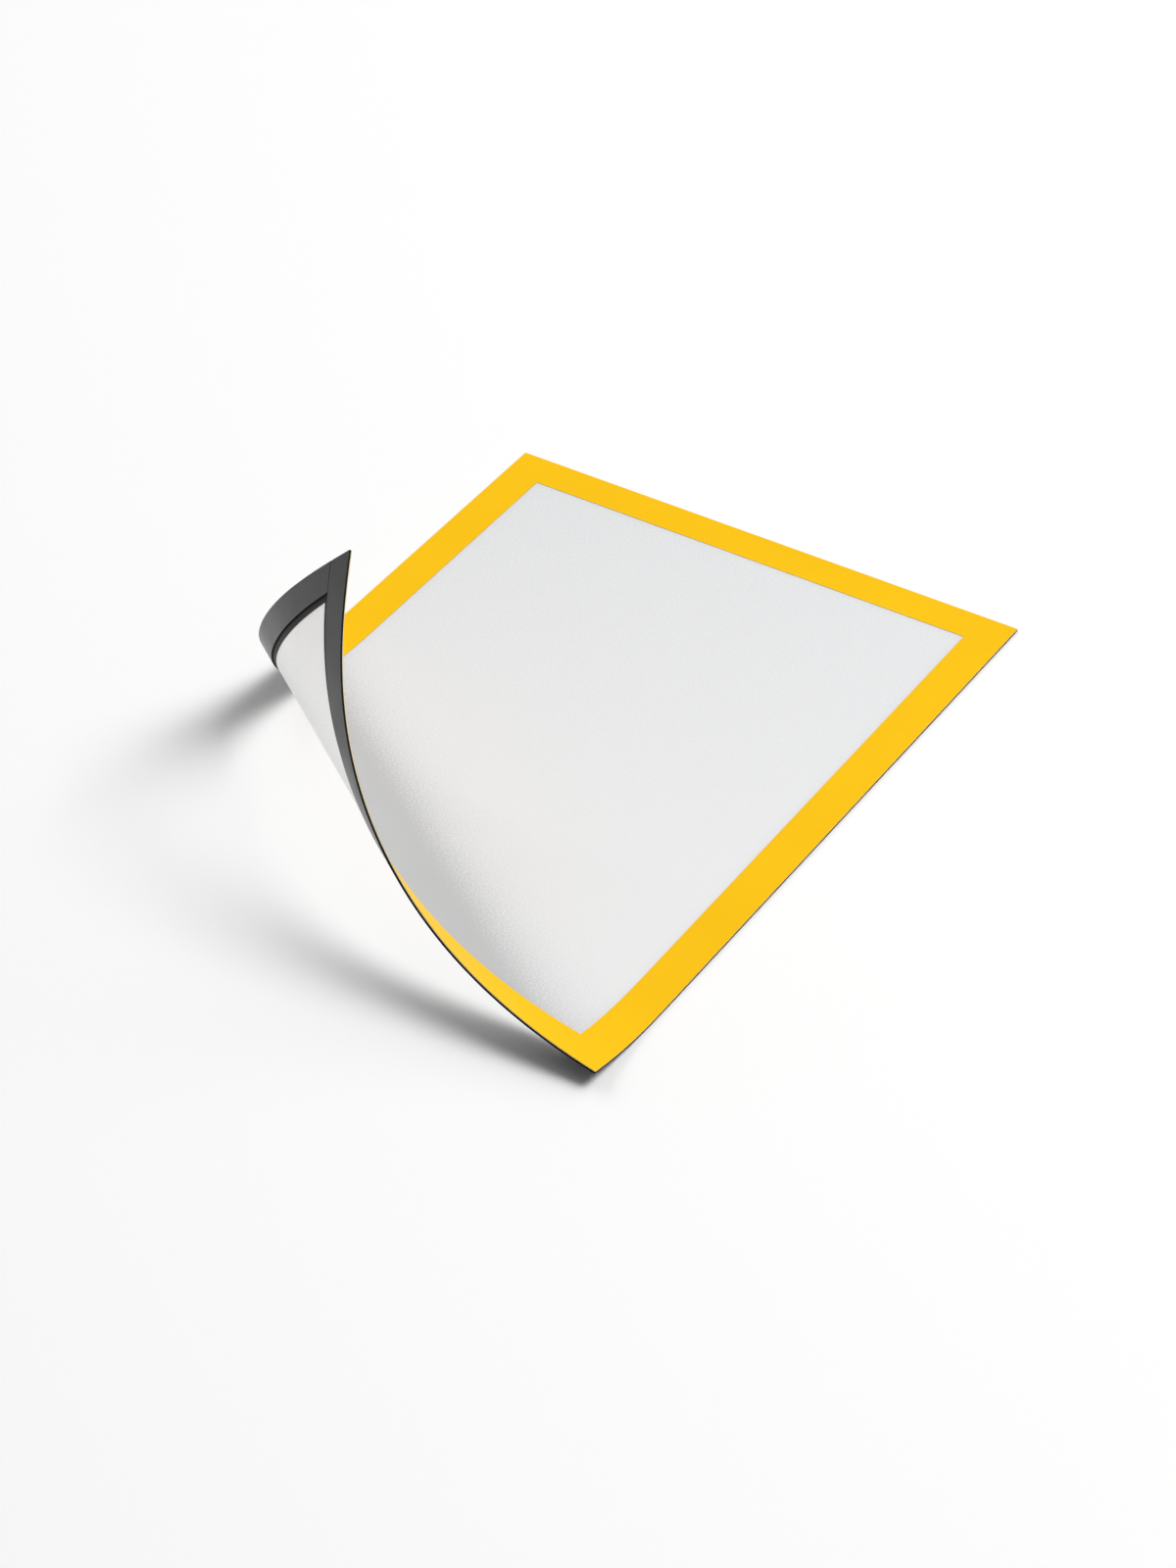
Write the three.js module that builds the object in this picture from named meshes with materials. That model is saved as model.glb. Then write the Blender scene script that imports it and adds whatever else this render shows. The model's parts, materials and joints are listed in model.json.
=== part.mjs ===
// Magnetic display frame for one upright sheet of paper: a soft, matt window film with a coloured
// rim foil on its front, a black backing ring on its back and four flexible magnetic strips that
// hold it to a steel board. It lies on its back with the lower left corner rolled up and over,
// the way a hand lifts it to change the paper.
//
// The sheet is drawn flat and then rolled. u runs along the sheet's lower edge from the rolled
// corner and v up its left edge. The roll is a piece of a cone: every fold line passes through one
// point, the cone's tip, beside the sheet. The back of the strips keeps its true length.

import * as THREE from 'three';

// The paper that the frame shows, in millimetres
const paperWidth = 210;
const paperHeight = 297;

// The layers, from the front to the back, with the glue line between two of them
const foilThickness = 0.12;
const filmThickness = 0.15;
const backingThickness = 0.12;
const magnetThickness = 0.7;
const glueLine = 0.02;

// The strips lie outside the paper, and the rim reaches over its edge
const magnetWidth = 13;
const rimOverPaper = 3;
const stripJoint = 0.3;

// The rolled corner: how high on the right edge it sets in, how far it turns, and how fast the
// turn sets in at the flat side and dies away towards the corner
const rollStart = 55;
const rollAngle = 124;
const rollOnset = 0.63;
const rollFade = 0.9;
const coneTipLeft = 343;
const coneTipUp = 392;

// About how long the stiff lengths of the roll and the flat facets in them are, along the diagonal
const rollPartLength = 24;
const facetLength = 4;

const foilColour = 0xffc61a;
const filmColour = 0xe9eaec;
const backingColour = 0x262626;
const magnetColour = 0x3a3a3a;

const sheetWidth = paperWidth + 2 * magnetWidth;
const sheetHeight = paperHeight + 2 * magnetWidth;
const rimWidth = magnetWidth + rimOverPaper;
const foldsPerPart = Math.round(rollPartLength / facetLength);

// Heights above the back of the strips
const magnetLayer = { bottom: 0, top: magnetThickness };
const backingLayer = layerOver(magnetLayer, backingThickness);
const filmLayer = layerOver(backingLayer, filmThickness);
const foilLayer = layerOver(filmLayer, foilThickness);

function layerOver(lower, thickness) {
  const bottom = lower.top + glueLine;
  return { bottom, top: bottom + thickness };
}

// The part's origin is on the back of the top strip, at the middle of its length
const origin = new THREE.Vector3(sheetWidth / 2, sheetHeight - magnetWidth / 2, 0);

// Fold lines, from the flat side to the corner. Each is named by its reach, the distance from the
// rolled corner at which it crosses the sheet's diagonal.

const coneTip = new THREE.Vector2(-coneTipLeft, coneTipUp);
const diagonal = new THREE.Vector2(sheetWidth, sheetHeight).normalize();

// The reach of the fold line through a point of the sheet
function reachThrough(u, v) {
  const along = new THREE.Vector2(u, v).sub(coneTip);
  return coneTip.cross(along) / diagonal.cross(along);
}

const sideStripLow = magnetWidth + stripJoint;

// Where the stiff lengths of the roll meet. The second holds the whole lower right corner.
function makePartLimits() {
  const limits = [
    reachThrough(sheetWidth, rollStart),
    reachThrough(sheetWidth, (rollStart + sideStripLow) / 2),
  ];
  const pastCorner = reachThrough(sheetWidth - rimWidth, 0);
  const partsLeft = Math.round(pastCorner / rollPartLength);
  for (let i = 0; i <= partsLeft; i++) {
    limits.push(pastCorner * (1 - i / partsLeft));
  }
  return limits;
}

const partLimits = makePartLimits();
const rollParts = partLimits.length - 1;
const foldCount = rollParts * foldsPerPart;

// The reach of fold i, counted from the flat side. The first fold of a part lies on its limit.
function foldReach(i) {
  const part = Math.floor(i / foldsPerPart);
  if (part >= rollParts) return partLimits.at(-1);
  const share = (i % foldsPerPart) / foldsPerPart;
  return THREE.MathUtils.lerp(partLimits[part], partLimits[part + 1], share);
}

// How sharply the sheet bends at a reach, in no unit
function bendRate(reach) {
  const share = 1 - reach / partLimits[0];
  return share ** rollOnset * (1 - share) ** rollFade;
}

function makeFolds() {
  const folds = [];
  for (let i = 0; i < foldCount; i++) {
    const reach = foldReach(i);
    const point = diagonal.clone().multiplyScalar(reach);
    const direction = coneTip.clone().sub(point).normalize();
    const width = foldReach(Math.max(i - 1, 0)) - foldReach(i + 1);
    folds.push({ point, direction, weight: bendRate(reach) * width });
  }
  const total = folds.reduce((sum, fold) => sum + fold.weight, 0);
  for (const fold of folds) {
    fold.angle = (THREE.MathUtils.degToRad(rollAngle) * fold.weight) / total;
  }
  return folds;
}

const folds = makeFolds();

// facetFrames[k] carries the flat sheet to where the facet after fold k - 1 lies
function makeFacetFrames() {
  const frames = [new THREE.Matrix4()];
  for (const { point, direction, angle } of folds) {
    const turn = new THREE.Matrix4().makeRotationAxis(new THREE.Vector3(direction.x, direction.y, 0), angle);
    const away = new THREE.Matrix4().makeTranslation(point.x, point.y, 0);
    const back = new THREE.Matrix4().makeTranslation(-point.x, -point.y, 0);
    frames.push(frames.at(-1).clone().multiply(away).multiply(turn).multiply(back));
  }
  return frames;
}

const facetFrames = makeFacetFrames();

// Distance of a flat point from a fold line, positive on the rolled side
function pastFold(fold, u, v) {
  return fold.direction.x * (v - fold.point.y) - fold.direction.y * (u - fold.point.x);
}

const onFoldTolerance = 1e-4;

function facetNormal(facet) {
  return new THREE.Vector3(0, 0, 1).transformDirection(facetFrames[facet]);
}

// Where the sheet's point u, v lies in the part, at a height over the back of the strips.
// On a fold line the layers are mitred between the two facets.
function rolledPoint(u, v, height) {
  const passed = folds.filter((fold) => pastFold(fold, u, v) > onFoldTolerance).length;
  const onFold = folds.findIndex((fold) => Math.abs(pastFold(fold, u, v)) <= onFoldTolerance);
  const position = new THREE.Vector3(u, v, 0).applyMatrix4(facetFrames[passed]);
  if (onFold < 0) {
    position.addScaledVector(facetNormal(passed), height);
  } else {
    const mitre = facetNormal(onFold).add(facetNormal(onFold + 1)).normalize();
    position.addScaledVector(mitre, height / Math.cos(folds[onFold].angle / 2));
  }
  return position.sub(origin);
}

// Flat outlines, as lists of convex pieces that share their edges

const rect = (left, low, right, high) => [
  new THREE.Vector2(left, low),
  new THREE.Vector2(right, low),
  new THREE.Vector2(right, high),
  new THREE.Vector2(left, high),
];

const outerCorners = rect(0, 0, sheetWidth, sheetHeight);
const innerCorners = rect(rimWidth, rimWidth, sheetWidth - rimWidth, sheetHeight - rimWidth);

// One side of the rim ring, mitred at both ends
function rimSide(index) {
  const next = (index + 1) % outerCorners.length;
  return [outerCorners[index], outerCorners[next], innerCorners[next], innerCorners[index]];
}

const rimBottom = rimSide(0);
const rimRight = rimSide(1);
const rimTop = rimSide(2);
const rimLeft = rimSide(3);

const sideStripHigh = sheetHeight - magnetWidth - stripJoint;
const bottomStrip = rect(0, 0, sheetWidth, magnetWidth);
const topStrip = rect(0, sheetHeight - magnetWidth, sheetWidth, sheetHeight);
const leftStrip = rect(0, sideStripLow, magnetWidth, sideStripHigh);
const rightStrip = rect(sheetWidth - magnetWidth, sideStripLow, sheetWidth, sideStripHigh);

// The part of a convex outline on one side of a fold line: side is 1 past it, -1 before it
function cutAtFold(outline, fold, side) {
  const kept = [];
  outline.forEach((corner, i) => {
    const next = outline[(i + 1) % outline.length];
    const here = side * pastFold(fold, corner.x, corner.y);
    const there = side * pastFold(fold, next.x, next.y);
    if (here >= 0) kept.push(corner);
    if (here * there < 0) kept.push(corner.clone().lerp(next, here / (here - there)));
  });
  return kept;
}

// What an outline has on one facet
function facetCell(outline, facet) {
  let cell = outline;
  if (facet > 0) cell = cutAtFold(cell, folds[facet - 1], 1);
  if (facet < foldCount) cell = cutAtFold(cell, folds[facet], -1);
  return cell.length < 3 ? null : cell;
}

// A closed body: the outlines between two facets, rolled, between the heights of a layer.
// Edges that two cells share lie inside the body and get no wall.
function sheetBody(outlines, layer, firstFacet, lastFacet) {
  const corners = [];
  const index = new Map();
  const triangles = [];
  const edges = new Map();

  function cornerIndex(point) {
    const key = `${Math.round(point.x * 1e5)},${Math.round(point.y * 1e5)}`;
    if (!index.has(key)) {
      index.set(key, index.size);
      corners.push(rolledPoint(point.x, point.y, layer.bottom), rolledPoint(point.x, point.y, layer.top));
    }
    return index.get(key);
  }

  function addCell(cell) {
    const ring = cell.map(cornerIndex).filter((id, i, all) => id !== all[(i + 1) % all.length]);
    for (let i = 1; i < ring.length - 1; i++) {
      triangles.push([2 * ring[0] + 1, 2 * ring[i] + 1, 2 * ring[i + 1] + 1]);
      triangles.push([2 * ring[0], 2 * ring[i + 1], 2 * ring[i]]);
    }
    if (ring.length > 2) ring.forEach((a, i) => edges.set(`${a},${ring[(i + 1) % ring.length]}`, true));
  }

  for (let facet = firstFacet; facet <= lastFacet; facet++) {
    for (const outline of outlines) {
      const cell = facetCell(outline, facet);
      if (cell) addCell(cell);
    }
  }
  for (const edge of edges.keys()) {
    const [a, b] = edge.split(',').map(Number);
    if (edges.has(`${b},${a}`)) continue;
    triangles.push([2 * a, 2 * b, 2 * b + 1]);
    triangles.push([2 * a, 2 * b + 1, 2 * a + 1]);
  }
  if (triangles.length === 0) return null;

  const geometry = new THREE.BufferGeometry().setFromPoints(corners);
  geometry.setIndex(triangles.flat());
  geometry.computeVertexNormals();
  return geometry;
}

// Materials

const finish = (color, roughness) => new THREE.MeshStandardMaterial({ color, roughness, metalness: 0 });

const foilFinish = () => finish(foilColour, 0.55);
const backingFinish = () => finish(backingColour, 0.6);
const magnetFinish = () => finish(magnetColour, 0.7);

function filmFinish() {
  const film = finish(filmColour, 0.45);
  film.transparent = true;
  film.opacity = 0.8;
  return film;
}

// A named mesh in a group, left out where the outlines have nothing between the facets
function addSheet(group, name, outlines, layer, material, [firstFacet, lastFacet]) {
  const geometry = sheetBody(outlines, layer, firstFacet, lastFacet);
  if (!geometry) return;
  const mesh = new THREE.Mesh(geometry, material);
  mesh.name = name;
  group.add(mesh);
}

// The flat part, which lies on the board

function makeFlatPart() {
  const group = new THREE.Group();
  const facets = [0, 0];
  const ring = [rimBottom, rimRight, rimTop, rimLeft];
  addSheet(group, 'rim_foil_flat', ring, foilLayer, foilFinish(), facets);
  addSheet(group, 'window_film_flat', [outerCorners], filmLayer, filmFinish(), facets);
  addSheet(group, 'rim_backing_flat', ring, backingLayer, backingFinish(), facets);
  addSheet(group, 'magnet_strip_top', [topStrip], magnetLayer, magnetFinish(), facets);
  addSheet(group, 'magnet_strip_left_flat', [leftStrip], magnetLayer, magnetFinish(), facets);
  addSheet(group, 'magnet_strip_right_flat', [rightStrip], magnetLayer, magnetFinish(), facets);
  return group;
}

// The hinge that a rolled part turns on when the corner is laid down. It is the line where the
// middle tangent plane of the part meets that of its neighbour, and it passes through the cone's tip.

function middleNormal(part) {
  if (part === 0) return facetNormal(0);
  const middleFacet = (part - 1) * foldsPerPart + (foldsPerPart + 1) / 2;
  return facetNormal(Math.floor(middleFacet)).add(facetNormal(Math.ceil(middleFacet))).normalize();
}

function hingeOf(part) {
  const before = middleNormal(part - 1);
  const after = middleNormal(part);
  const axis = before.clone().cross(after).normalize();
  const tip = new THREE.Vector3(coneTip.x, coneTip.y, 0).sub(origin);
  const firstFold = folds[(part - 1) * foldsPerPart];
  const middle = rolledPoint(firstFold.point.x, firstFold.point.y, 0);
  const point = tip.addScaledVector(axis, middle.sub(tip).dot(axis));
  return { point, axis, angle: before.angleTo(after) };
}

// One stiff length of the roll, counted from the flat part

// The sides of the rim that a part has, by name
function rimPieces(part) {
  if (part === rollParts) return { corner: [rimLeft, rimBottom] };
  const left = { [`left_${part}`]: [rimLeft] };
  if (part === 1) return { ...left, right_1: [rimRight] };
  if (part === 2) return { ...left, right_corner: [rimBottom, rimRight] };
  return { ...left, [`bottom_${part}`]: [rimBottom] };
}

function makeRolledPart(part) {
  const group = new THREE.Group();
  group.userData.hinge = hingeOf(part);
  const facets = [(part - 1) * foldsPerPart + 1, part * foldsPerPart];
  const add = (name, outlines, layer, material) => addSheet(group, name, outlines, layer, material, facets);
  add(`window_film_${part}`, [outerCorners], filmLayer, filmFinish());
  for (const [side, outlines] of Object.entries(rimPieces(part))) {
    add(`rim_foil_${side}`, outlines, foilLayer, foilFinish());
    add(`rim_backing_${side}`, outlines, backingLayer, backingFinish());
  }
  add(`magnet_strip_left_${part}`, [leftStrip], magnetLayer, magnetFinish());
  add(`magnet_strip_bottom_${part}`, [bottomStrip], magnetLayer, magnetFinish());
  add(`magnet_strip_right_${part}`, [rightStrip], magnetLayer, magnetFinish());
  return group;
}

const displayFrame = new THREE.Group();
displayFrame.add(makeFlatPart());
for (let part = 1; part <= rollParts; part++) {
  displayFrame.add(makeRolledPart(part));
}

export default displayFrame;
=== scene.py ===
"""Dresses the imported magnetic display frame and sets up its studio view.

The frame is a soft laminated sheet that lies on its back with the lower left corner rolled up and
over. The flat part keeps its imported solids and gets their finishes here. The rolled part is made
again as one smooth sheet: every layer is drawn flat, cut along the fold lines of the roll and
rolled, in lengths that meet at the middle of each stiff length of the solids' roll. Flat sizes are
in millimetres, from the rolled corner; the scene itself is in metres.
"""

import json
import logging
import math
from bisect import bisect_left
from collections.abc import Iterable, Sequence
from dataclasses import dataclass, field
from enum import Enum

import bmesh
import bpy
from mathutils import Euler, Matrix, Vector

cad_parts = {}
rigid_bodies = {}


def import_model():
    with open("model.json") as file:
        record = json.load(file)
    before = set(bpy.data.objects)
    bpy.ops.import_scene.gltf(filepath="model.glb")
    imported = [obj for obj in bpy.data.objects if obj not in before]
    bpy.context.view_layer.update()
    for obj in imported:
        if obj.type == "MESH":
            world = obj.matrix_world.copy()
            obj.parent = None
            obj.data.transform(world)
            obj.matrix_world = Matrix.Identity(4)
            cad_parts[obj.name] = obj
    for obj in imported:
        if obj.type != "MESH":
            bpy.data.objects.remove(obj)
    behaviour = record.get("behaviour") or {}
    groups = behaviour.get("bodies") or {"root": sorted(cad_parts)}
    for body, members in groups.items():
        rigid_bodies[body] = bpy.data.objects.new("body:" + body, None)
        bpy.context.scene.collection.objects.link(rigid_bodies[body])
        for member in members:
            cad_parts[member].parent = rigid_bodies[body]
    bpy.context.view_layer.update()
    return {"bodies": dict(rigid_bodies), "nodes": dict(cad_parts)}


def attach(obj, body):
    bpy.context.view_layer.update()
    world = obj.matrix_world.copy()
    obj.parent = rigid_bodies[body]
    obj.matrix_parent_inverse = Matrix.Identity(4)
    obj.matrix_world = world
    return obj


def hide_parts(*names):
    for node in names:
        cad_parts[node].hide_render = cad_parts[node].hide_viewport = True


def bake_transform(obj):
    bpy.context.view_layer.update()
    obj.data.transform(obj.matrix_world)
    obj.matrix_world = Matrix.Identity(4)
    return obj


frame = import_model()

SHEET_MAP = "sheet"  # the map of the flat sheet on a rolled piece
FACING = "facing"  # the attribute that tells front, back and cut edge of a rolled piece
MM = 0.001
UP = Vector((0.0, 0.0, 1.0))
WHITE = (1.0, 1.0, 1.0, 1.0)
USUAL_NOISE = (0.3, 0.7)  # the range in which most of a noise lies
FACE_LEVELS = (0.6, 0.9)  # how level a face is between a cut edge and the front or back
LOG = logging.getLogger("display_frame")

Outline = Sequence[tuple[float, float]]
Place = tuple[float, float, float]
Colour = tuple[float, float, float]
Socket = bpy.types.NodeSocket
Shader = bpy.types.Node


class Side(Enum):
    """A side of the sheet, seen from its front."""

    BOTTOM = 0
    RIGHT = 1
    TOP = 2
    LEFT = 3


class Pattern(Enum):
    """Where a finish takes the place of its pattern from."""

    FLAT_SOLID = "the packed solid's own coordinates"
    ROLLED_SHEET = "the map of the flat sheet on a rolled piece"


@dataclass(frozen=True)
class Layer:
    """One layer of the sheet, by its heights over the back of the strips, in millimetres."""

    bottom: float
    top: float

    def over(self, thickness: float, glue: float) -> "Layer":
        """Returns the layer of a thickness that is glued on top of this one."""
        return Layer(self.top + glue, self.top + glue + thickness)


@dataclass(frozen=True)
class Laminate:
    """The thicknesses of the layers and of the glue between them, in millimetres.

    The edges of the strips are rounded a little.
    """

    strip_thickness: float = 0.7
    backing_thickness: float = 0.12
    film_thickness: float = 0.15
    foil_thickness: float = 0.12
    glue: float = 0.02
    strip_round: float = 0.03

    @property
    def strip(self) -> Layer:
        """The magnetic strips, at the back."""
        return Layer(0.0, self.strip_thickness)

    @property
    def backing(self) -> Layer:
        """The black ring between the strips and the film."""
        return self.strip.over(self.backing_thickness, self.glue)

    @property
    def film(self) -> Layer:
        """The window film."""
        return self.backing.over(self.film_thickness, self.glue)

    @property
    def foil(self) -> Layer:
        """The coloured rim, at the front."""
        return self.film.over(self.foil_thickness, self.glue)


@dataclass(frozen=True)
class FlatSheet:
    """The flat sizes of the sheet, in millimetres from its lower left corner."""

    paper_width: float = 210.0
    paper_height: float = 297.0
    strip_width: float = 13.0
    rim_over_paper: float = 3.0
    strip_joint: float = 0.3

    @property
    def width(self) -> float:
        """The whole width."""
        return self.paper_width + 2 * self.strip_width

    @property
    def height(self) -> float:
        """The whole height."""
        return self.paper_height + 2 * self.strip_width

    @property
    def rim_width(self) -> float:
        """The width of the coloured rim."""
        return self.strip_width + self.rim_over_paper

    @property
    def strip_low(self) -> float:
        """The lower end of the side strips."""
        return self.strip_width + self.strip_joint

    @staticmethod
    def rect(left: float, low: float, right: float, high: float) -> Outline:
        """Returns the corners of a rectangle, turning left from the lower left one."""
        return ((left, low), (right, low), (right, high), (left, high))

    def whole(self) -> Outline:
        """Returns the outline of the whole sheet."""
        return self.rect(0.0, 0.0, self.width, self.height)

    def rim(self) -> list[Outline]:
        """Returns the four sides of the rim."""
        return [self.rim_side(side) for side in Side]

    def rim_side(self, side: Side) -> Outline:
        """Draws one side of the rim, mitred at both ends.

        Args:
            side: which side it is.

        Returns:
            The corners of that side.
        """
        outer = self.whole()
        rim = self.rim_width
        inner = self.rect(rim, rim, self.width - rim, self.height - rim)
        here, after = side.value, (side.value + 1) % len(Side)
        return (outer[here], outer[after], inner[after], inner[here])

    def strip(self, side: Side) -> Outline:
        """Draws one magnetic strip.

        Args:
            side: the side it lies on. The bottom and top strips run through to the corners.

        Returns:
            The corners of the strip.
        """
        high = self.height - self.strip_low
        return {
            Side.BOTTOM: self.rect(0.0, 0.0, self.width, self.strip_width),
            Side.TOP: self.rect(0.0, self.height - self.strip_width, self.width, self.height),
            Side.LEFT: self.rect(0.0, self.strip_low, self.strip_width, high),
            Side.RIGHT: self.rect(self.width - self.strip_width, self.strip_low, self.width, high),
        }[side]

    def cross_cuts(self, spacing: float) -> list[tuple[Vector, Vector]]:
        """Sets out lines across the fold lines, which keep a long facet true while it bends.

        Args:
            spacing: how far apart the lines are in the window.

        Returns:
            A point and a normal for each line.
        """
        across = self._steps(self.width, spacing)
        along = self._steps(self.height, spacing)
        cuts = [(Vector((u, 0.0, 0.0)), Vector((1.0, 0.0, 0.0))) for u in across]
        cuts += [(Vector((0.0, v, 0.0)), Vector((0.0, 1.0, 0.0))) for v in along]
        return cuts

    def _steps(self, length: float, spacing: float) -> list[float]:
        """Divides the window evenly in one direction.

        Args:
            length: the whole width or height of the sheet.
            spacing: about how long a step is.

        Returns:
            Where the steps lie, the rims' inner edges included.
        """
        low, high = self.rim_width, length - self.rim_width
        count = round((high - low) / spacing)
        return [low + (high - low) * i / count for i in range(count + 1)]


@dataclass
class CornerRoll:
    """The rolled corner, a piece of a cone whose fold lines all pass through the cone's tip.

    A fold line is named by its reach, the distance from the rolled corner at which it crosses the
    sheet's diagonal. The folds here are four times as fine as in the solids.

    Attributes:
        sheet: the flat sheet.
        start: how far up the right edge the roll begins, in millimetres.
        turn: the whole turn of the roll, in degrees.
        onset: how softly the bend sets in on the flat side, as a power.
        fade: how softly the bend fades out towards the corner, as a power.
        tip: where the cone's tip lies on the flat sheet, in millimetres.
        part_length: about how much reach a stiff length of the solids' roll takes.
        folds_in_part: the folds of the smooth roll in one such length.
        near: how near a fold line a point counts as lying on it.
        limits: the reaches that divide the solids' roll into its stiff lengths.
        reaches: the reach of each fold, from the flat side to the corner.
        climbing: the same reaches, negative, so that they climb.
        bends: the bend at each fold, in radians.
        frames: where each facet between two folds lies.
    """

    sheet: FlatSheet = FlatSheet()
    start: float = 55.0
    turn: float = 124.0
    onset: float = 0.63
    fade: float = 0.9
    tip: tuple[float, float] = (-343.0, 392.0)
    part_length: float = 24.0
    folds_in_part: int = 24
    near: float = 2e-3
    limits: list[float] = field(init=False)
    reaches: list[float] = field(init=False)
    climbing: list[float] = field(init=False)
    bends: list[float] = field(init=False)
    frames: list[Matrix] = field(init=False)

    def __post_init__(self) -> None:
        """Works out the fold lines, their bends and where each facet lies."""
        sheet = self.sheet
        self.limits = [
            self.reach_through(sheet.width, self.start),
            self.reach_through(sheet.width, (self.start + sheet.strip_low) / 2),
        ]
        past_corner = self.reach_through(sheet.width - sheet.rim_width, 0.0)
        left = round(past_corner / self.part_length)
        self.limits += [past_corner * (1 - i / left) for i in range(left + 1)]
        self.reaches = [self._reach_of(i) for i in range(self.fold_count)]
        self.climbing = [-reach for reach in self.reaches]
        self.bends = self._make_bends()
        self.frames = self._make_frames()

    @property
    def part_count(self) -> int:
        """How many stiff lengths the solids' roll has."""
        return len(self.limits) - 1

    @property
    def fold_count(self) -> int:
        """How many folds the smooth roll has."""
        return self.part_count * self.folds_in_part

    @property
    def origin(self) -> Vector:
        """The part's origin on the flat sheet, behind the middle of the top strip."""
        sheet = self.sheet
        return Vector((sheet.width / 2, sheet.height - sheet.strip_width / 2, 0.0))

    def reach_through(self, u: float, v: float) -> float:
        """Names the fold line through a point of the flat sheet.

        Args:
            u: how far right of the rolled corner the point lies, in millimetres.
            v: how far above it the point lies.

        Returns:
            The fold line's reach.
        """
        tip = Vector(self.tip)
        along = Vector((u, v)) - tip
        diagonal = Vector((self.sheet.width, self.sheet.height)).normalized()
        return self._cross(tip, along) / self._cross(diagonal, along)

    def line(self, fold: int) -> tuple[Vector, Vector]:
        """Draws a fold line on the flat sheet.

        Args:
            fold: the fold's number.

        Returns:
            Where it crosses the diagonal, and its direction towards the tip.
        """
        diagonal = Vector((self.sheet.width, self.sheet.height, 0.0)).normalized()
        point = diagonal * self._reach_of(fold)
        return point, (Vector((*self.tip, 0.0)) - point).normalized()

    def normal_at(self, flat: Vector) -> Vector:
        """Returns the direction of the rolled sheet's front at a point of the flat sheet."""
        return self._facet_at(flat)[1]

    def place(self, flat: Vector) -> Vector:
        """Rolls a point of the flat sheet.

        Args:
            flat: the point, with its height over the back of the strips, in millimetres.

        Returns:
            Where it lies in the part, in metres.
        """
        facet, normal, stretch = self._facet_at(flat)
        base = self.frames[facet] @ Vector((flat.x, flat.y, 0.0))
        return (base + normal * flat.z * stretch - self.origin) * MM

    @staticmethod
    def _cross(a: Vector, b: Vector) -> float:
        """Returns the cross product of two plane vectors."""
        return a.x * b.y - a.y * b.x

    def _reach_of(self, fold: int) -> float:
        """Finds the reach of a fold.

        Args:
            fold: the fold's number, counted from the flat side.

        Returns:
            Its reach, in millimetres.
        """
        part, step = divmod(fold, self.folds_in_part)
        if part >= self.part_count:
            return self.limits[-1]
        share = step / self.folds_in_part
        return self.limits[part] + (self.limits[part + 1] - self.limits[part]) * share

    def _make_bends(self) -> list[float]:
        """Shares the whole turn out over the folds.

        Returns:
            The bend at each fold, in radians.
        """
        weights = []
        for fold, reach in enumerate(self.reaches):
            share = 1 - reach / self.limits[0]
            width = self._reach_of(max(fold - 1, 0)) - self._reach_of(fold + 1)
            weights.append(share**self.onset * (1 - share) ** self.fade * width)
        total = sum(weights)
        return [math.radians(self.turn) * weight / total for weight in weights]

    def _make_frames(self) -> list[Matrix]:
        """Carries the flat sheet over the folds, one after the other.

        Returns:
            Where each facet lies, from the flat sheet to the corner.
        """
        frames = [Matrix.Identity(4)]
        for fold, bend in enumerate(self.bends):
            point, direction = self.line(fold)
            there, back = Matrix.Translation(point), Matrix.Translation(-point)
            frames.append(frames[-1] @ there @ Matrix.Rotation(bend, 4, direction) @ back)
        return frames

    def _facet_at(self, flat: Vector) -> tuple[int, Vector, float]:
        """Finds the facet that a flat point lies on.

        Args:
            flat: a point of the flat sheet.

        Returns:
            The facet's number, the direction of its front, mitred on a fold line, and how much a
            height grows by that mitre.
        """
        reach = self.reach_through(flat.x, flat.y)
        facet = bisect_left(self.climbing, -(reach + self.near))
        normal = self.frames[facet].to_3x3() @ UP
        if facet < self.fold_count and abs(self.reaches[facet] - reach) <= self.near:
            normal = (normal + self.frames[facet + 1].to_3x3() @ UP).normalized()
            return facet, normal, 1 / math.cos(self.bends[facet] / 2)
        return facet, normal, 1.0


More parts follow.
